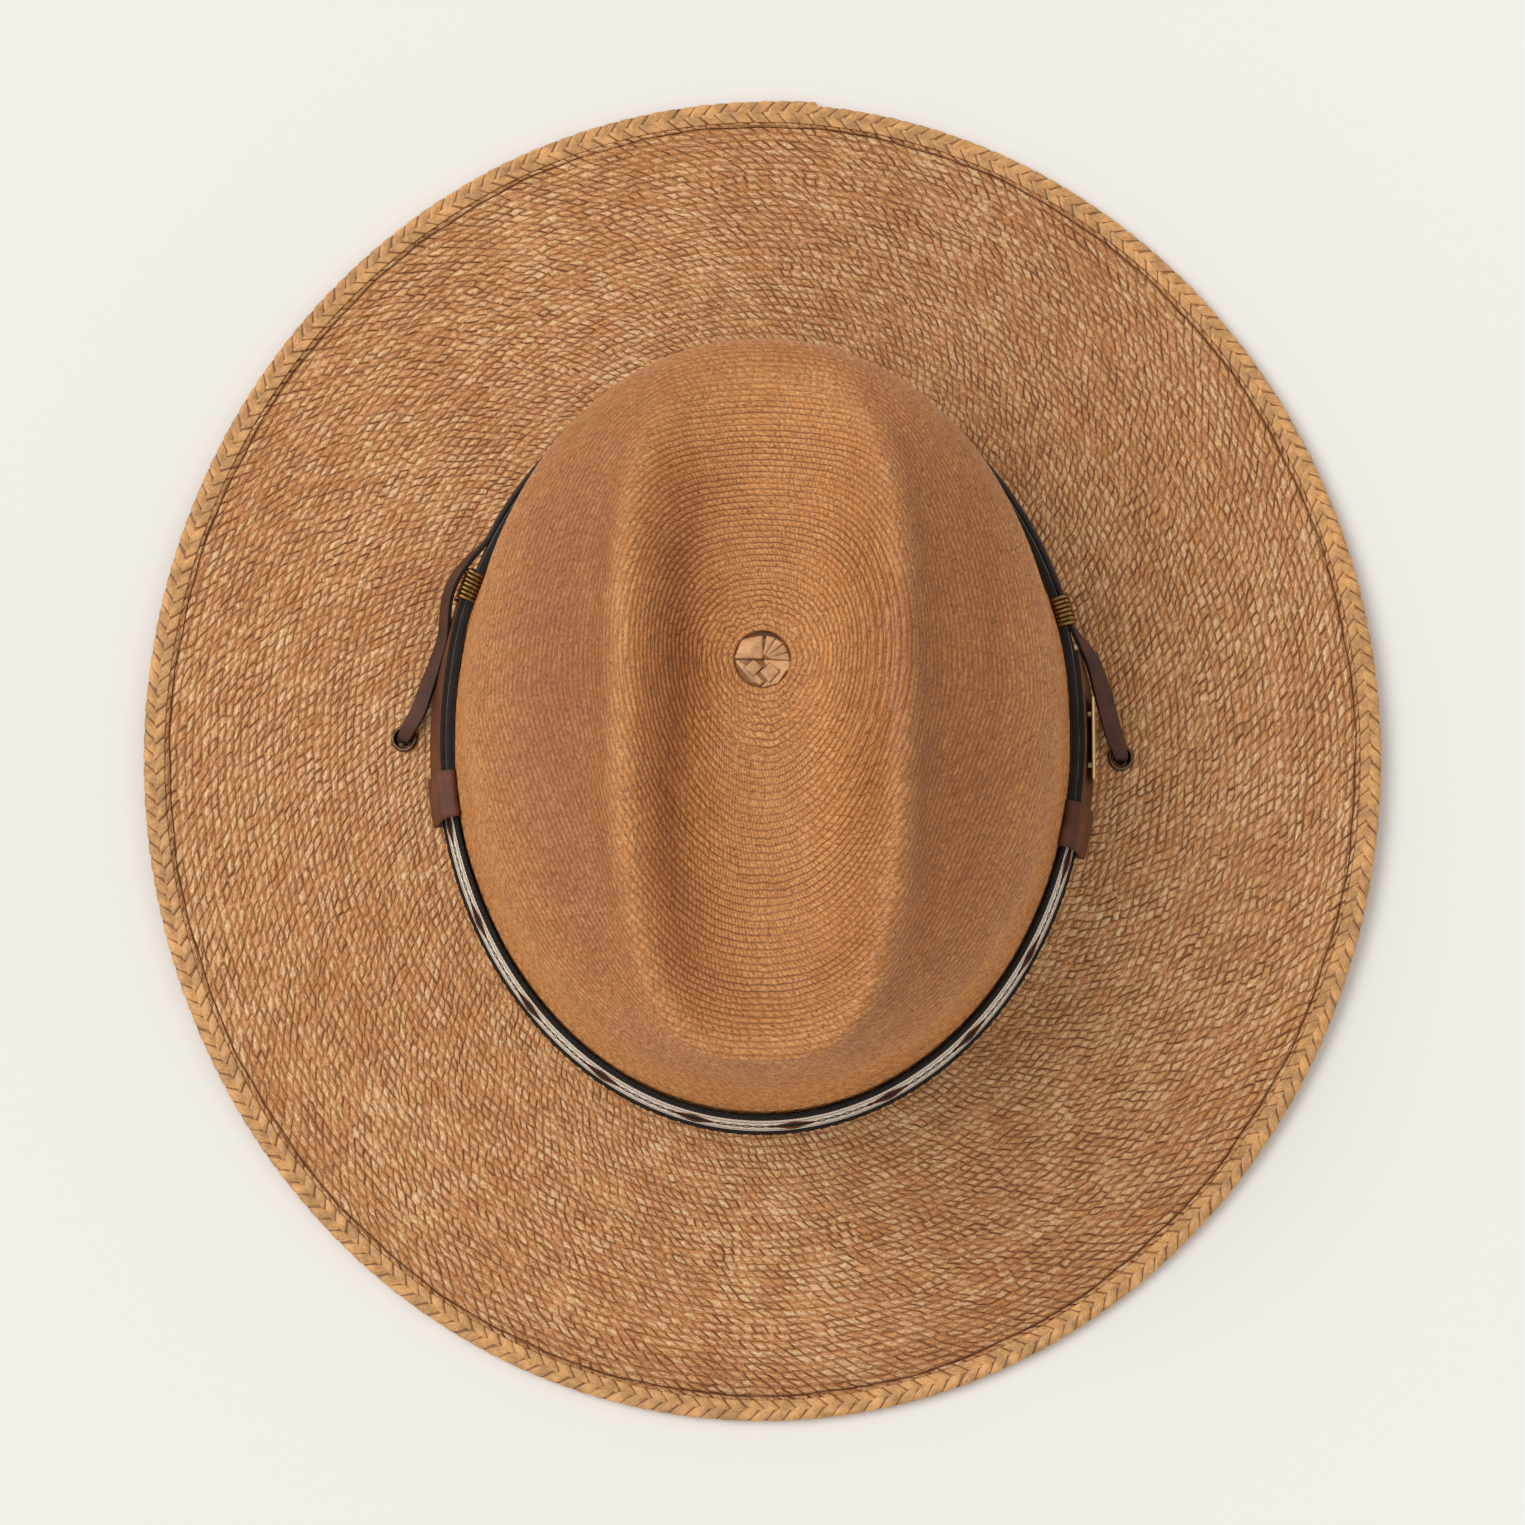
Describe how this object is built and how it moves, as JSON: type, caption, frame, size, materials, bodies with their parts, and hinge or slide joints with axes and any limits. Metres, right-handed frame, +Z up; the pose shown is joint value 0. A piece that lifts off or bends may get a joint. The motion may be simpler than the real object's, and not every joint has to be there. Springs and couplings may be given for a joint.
{
  "type": "wide-brim palm leaf hat",
  "caption": "Wide-brimmed woven palm-leaf hat with a creased crown, half ribbon and half leather band, eyelets and a chin lace with a sliding keeper.",
  "frame": {"origin": "middle of the hat's box, on the surface that the brim rests on", "axes": "+Z up out of the crown, -Y towards the hat's front, +X towards the wearer's left"},
  "size_m": [0.34, 0.366, 0.126],
  "materials": {
    "palm_weave": "woven palm leaf, satin",
    "palm_strip": "flat palm strips, satin",
    "palm_braid": "plaited palm leaf, satin",
    "steel_wire": "drawn wire",
    "dark_thread": "waxed thread",
    "sweat_leather": "soft matt leather",
    "reed_cover": "matt leather over a reed",
    "pale_thread": "sewing thread",
    "bow_ribbon": "satin ribbon",
    "woven_ribbon": "striped woven ribbon with dark selvedges",
    "strap_leather": "black backed leather, painted edges",
    "facing_leather": "brown leather, painted edges",
    "keeper_leather": "smooth brown leather",
    "coil_brass": "aged brass wire",
    "badge_brass": "brushed brass, bare",
    "bronze": "dark antique bronze",
    "lace_leather": "brown leather lace with dark edges"
  },
  "bodies": {
    "hat": {"woven_body": "palm_weave", "weave_start_knot": "palm_strip", "edge_braid": "palm_braid", "edge_wire": "steel_wire", "edge_wire_ferrule": "steel_wire", "edge_stitching": "dark_thread", "sweatband": "sweat_leather", "sweatband_reed": "reed_cover", "sweatband_stitching": "pale_thread", "sweatband_bow": "bow_ribbon", "band_ribbon": "woven_ribbon", "band_strap": "strap_leather", "strap_facing_left": "facing_leather", "strap_facing_right": "facing_leather", "keeper_left": "keeper_leather", "keeper_right": "keeper_leather", "band_tacks": "dark_thread", "coil_left": "coil_brass", "coil_right": "coil_brass", "badge_plate": "badge_brass", "badge_pins": "badge_brass", "eyelet_left": "bronze", "eyelet_right": "bronze", "eyelet_washer_left": "bronze", "eyelet_washer_right": "bronze", "chin_lace_upper": "lace_leather", "chin_lace_left": "lace_leather", "chin_lace_right": "lace_leather", "chin_knot": "lace_leather"},
    "slide": {"chin_slide": "keeper_leather"}
  },
  "joints": [
    {"name": "chin_slide_travel", "type": "slide", "parent": "hat", "child": "slide", "axis": [0, 1, 0], "range_m": [-0.042, 0.038]}
  ]
}
